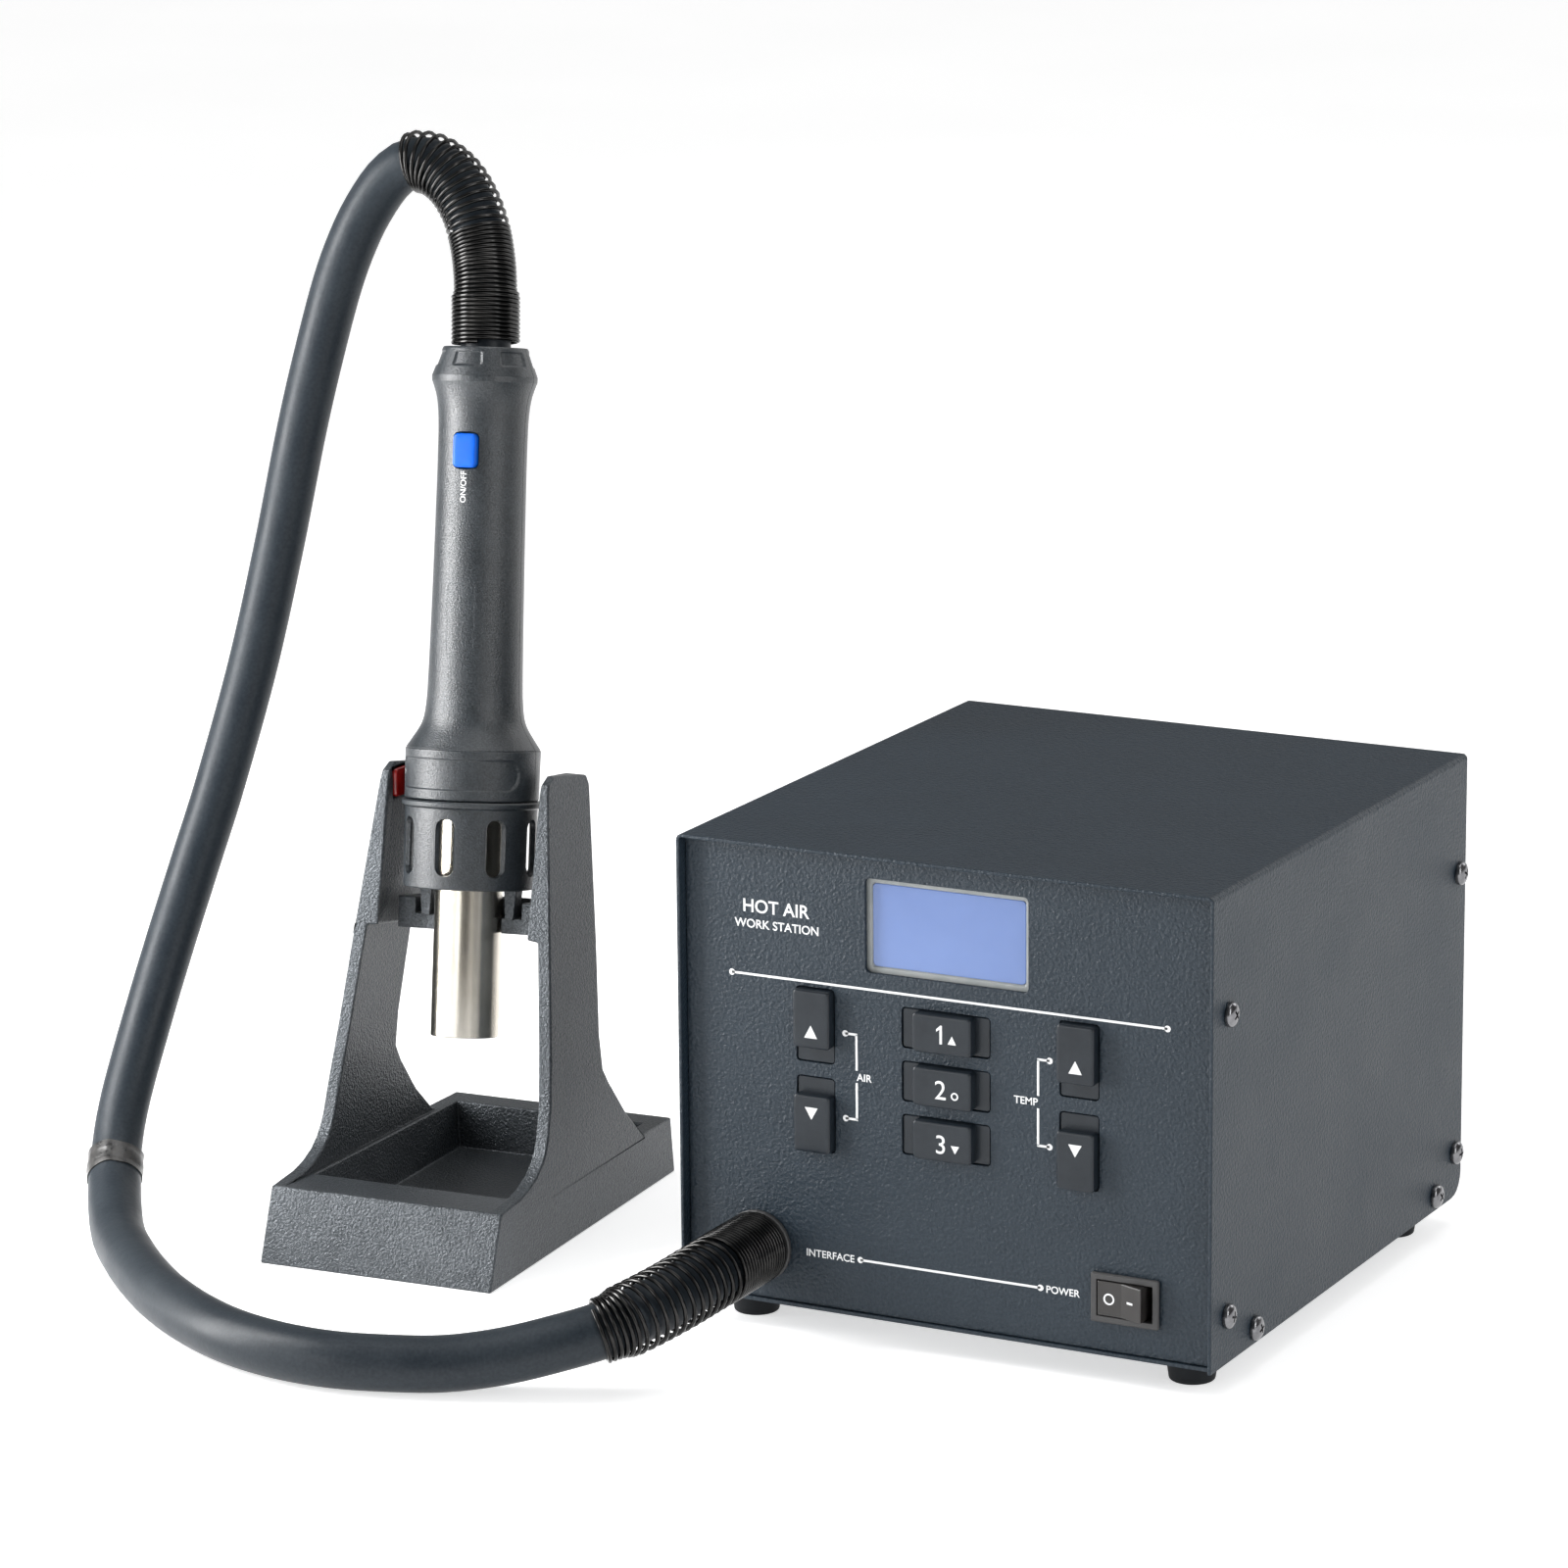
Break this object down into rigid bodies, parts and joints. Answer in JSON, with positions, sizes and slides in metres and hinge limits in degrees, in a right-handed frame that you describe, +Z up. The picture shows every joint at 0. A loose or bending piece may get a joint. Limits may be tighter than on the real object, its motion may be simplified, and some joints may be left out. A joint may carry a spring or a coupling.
{
  "type": "hot air station",
  "caption": "Hot air rework station: sheet-metal cabinet with display, keypad and blower, and a heated handpiece on a hose, resting in a cast stand.",
  "frame": {"origin": "on the bench, under the middle of the cabinet, stand and handpiece together, the hose not counted", "axes": "+Z up, -Y the cabinet's front, +X towards the cabinet, the stand being on its left"},
  "size_m": [0.4267, 0.3272, 0.3663],
  "materials": {
    "powder_coat": "fine textured powder coat",
    "black_screw": "black, shiny",
    "rubber": "matte",
    "key_plastic": "satin",
    "display_frame": "matte",
    "display_glass": "blue, glossy",
    "circuit_board": "satin",
    "switch_plastic": "satin black",
    "inlet_plastic": "satin black",
    "blower_plastic": "satin",
    "rotor_plastic": "satin",
    "silicone": "matte",
    "iron_core": "varnished",
    "stand_casting": "die-cast, textured dark grey paint",
    "red_insert": "glossy",
    "handle_plastic": "fine texture",
    "blue_button": "satin",
    "stainless": "brushed, straw tinted by heat",
    "mica": "matte",
    "ceramic": "matte",
    "hose_rubber": "satin",
    "spring_wire": "glossy black",
    "tape": "satin, slightly see-through"
  },
  "bodies": {
    "station": {"cover": "powder_coat", "base_tray": "powder_coat", "front_panel": "powder_coat", "rear_panel": "powder_coat", "foot_1": "rubber", "foot_2": "rubber", "foot_3": "rubber", "foot_4": "rubber", "screw_left_1": "black_screw", "screw_left_2": "black_screw", "screw_left_3": "black_screw", "screw_left_4": "black_screw", "screw_left_5": "black_screw", "screw_left_6": "black_screw", "screw_right_1": "black_screw", "screw_right_2": "black_screw", "screw_right_3": "black_screw", "screw_right_4": "black_screw", "screw_right_5": "black_screw", "screw_right_6": "black_screw", "display_frame": "display_frame", "lcd_module": "display_glass", "control_board": "circuit_board", "rocker_housing": "switch_plastic", "power_inlet": "inlet_plastic", "hose_socket": "black_screw", "blower_housing": "blower_plastic", "air_duct": "silicone", "transformer": "iron_core", "stand_body": "stand_casting", "magnet_insert": "red_insert", "cradle": "stand_casting", "hose_lower": "hose_rubber", "hose_middle": "hose_rubber", "spring_station": "spring_wire", "hose_tape": "tape"},
    "handpiece": {"handle_front": "handle_plastic", "handle_rear": "handle_plastic", "vent_skirt": "handle_plastic", "heater_tube": "stainless", "mica_sleeve": "mica", "heater_core": "ceramic", "handle_board": "circuit_board", "hose_upper": "hose_rubber", "spring_handle": "spring_wire"},
    "handle_button": {"handle_button": "blue_button"},
    "rocker": {"rocker": "switch_plastic"},
    "blower_rotor": {"blower_rotor": "rotor_plastic"},
    "key_air_up": {"key_air_up": "key_plastic"},
    "key_air_down": {"key_air_down": "key_plastic"},
    "key_1": {"key_1": "key_plastic"},
    "key_2": {"key_2": "key_plastic"},
    "key_3": {"key_3": "key_plastic"},
    "key_temp_up": {"key_temp_up": "key_plastic"},
    "key_temp_down": {"key_temp_down": "key_plastic"}
  },
  "joints": [
    {"name": "handpiece_lift", "type": "slide", "parent": "station", "child": "handpiece", "axis": [-0.0499, 0.1879, 0.9809], "range_m": [0, 0.055]},
    {"name": "handle_button_press", "type": "slide", "parent": "handpiece", "child": "handle_button", "axis": [-0.1291, 0.9727, -0.1929], "range_m": [0, 0.0008], "stiffness_N_per_m": 1500},
    {"name": "power_rocker", "type": "hinge", "parent": "station", "child": "rocker", "pos_m": [0.14455, -0.09442, 0.0293], "axis": [0, 0, 1], "range_deg": [0, 20]},
    {"name": "blower_spin", "type": "hinge", "parent": "station", "child": "blower_rotor", "pos_m": [0.04745, 0.01657, 0.035], "axis": [0, 0, 1], "continuous": true},
    {"name": "key_air_up_press", "type": "slide", "parent": "station", "child": "key_air_up", "axis": [0, 1, 0], "range_m": [0, 0.0012], "stiffness_N_per_m": 1000},
    {"name": "key_air_down_press", "type": "slide", "parent": "station", "child": "key_air_down", "axis": [0, 1, 0], "range_m": [0, 0.0012], "stiffness_N_per_m": 1000},
    {"name": "key_1_press", "type": "slide", "parent": "station", "child": "key_1", "axis": [0, 1, 0], "range_m": [0, 0.0012], "stiffness_N_per_m": 1000},
    {"name": "key_2_press", "type": "slide", "parent": "station", "child": "key_2", "axis": [0, 1, 0], "range_m": [0, 0.0012], "stiffness_N_per_m": 1000},
    {"name": "key_3_press", "type": "slide", "parent": "station", "child": "key_3", "axis": [0, 1, 0], "range_m": [0, 0.0012], "stiffness_N_per_m": 1000},
    {"name": "key_temp_up_press", "type": "slide", "parent": "station", "child": "key_temp_up", "axis": [0, 1, 0], "range_m": [0, 0.0012], "stiffness_N_per_m": 1000},
    {"name": "key_temp_down_press", "type": "slide", "parent": "station", "child": "key_temp_down", "axis": [0, 1, 0], "range_m": [0, 0.0012], "stiffness_N_per_m": 1000}
  ]
}
